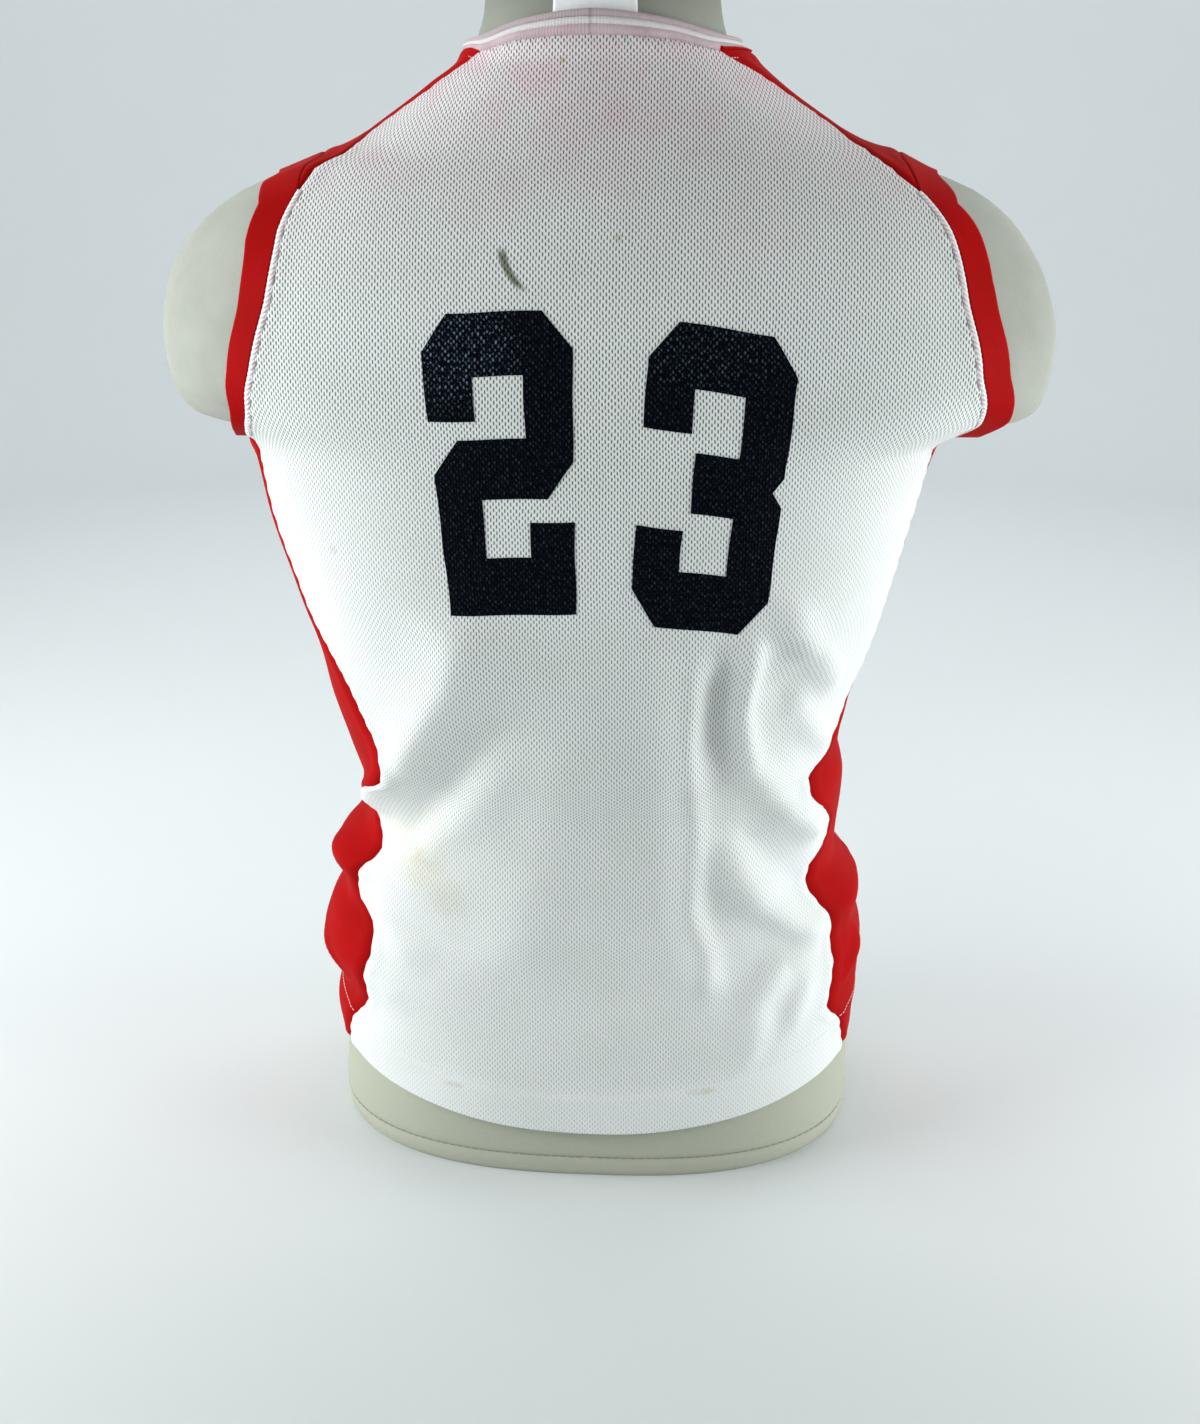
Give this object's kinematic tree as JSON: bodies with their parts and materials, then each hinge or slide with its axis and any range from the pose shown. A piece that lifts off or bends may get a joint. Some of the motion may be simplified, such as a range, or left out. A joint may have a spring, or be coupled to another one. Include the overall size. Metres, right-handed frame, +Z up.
{
  "type": "lacrosse jersey on dress form",
  "caption": "Sleeveless mesh lacrosse jersey with contrast side panels, shoulder panels and armhole bands and block back numbers, worn on a limbless countertop dress form.",
  "frame": {"origin": "centre of the dress form's flat base", "axes": "+Z up; -Y towards the jersey's back, which carries the number; +Y towards its plain front; -X towards the wearer's left"},
  "size_m": [0.529, 0.2675, 0.745],
  "materials": {
    "white_mesh": "satin white pin-hole mesh knit",
    "red_knit": "smooth red polyester knit with a slight sheen",
    "collar_knit": "white rib knit, faintly dyed pink",
    "label_satin": "white satin, bare",
    "navy_film": "semi-gloss dark navy print film over mesh",
    "form_cover": "grey-beige jersey stretched over the form"
  },
  "bodies": {
    "root": {"form_torso": "form_cover", "back_panel": "white_mesh", "front_panel": "white_mesh", "side_panel_left": "red_knit", "side_panel_right": "red_knit", "shoulder_panel_left": "red_knit", "shoulder_panel_right": "red_knit", "armhole_band_left": "red_knit", "armhole_band_right": "red_knit", "collar": "collar_knit", "care_label": "label_satin", "number_2": "navy_film", "number_3": "navy_film"}
  },
  "joints": []
}
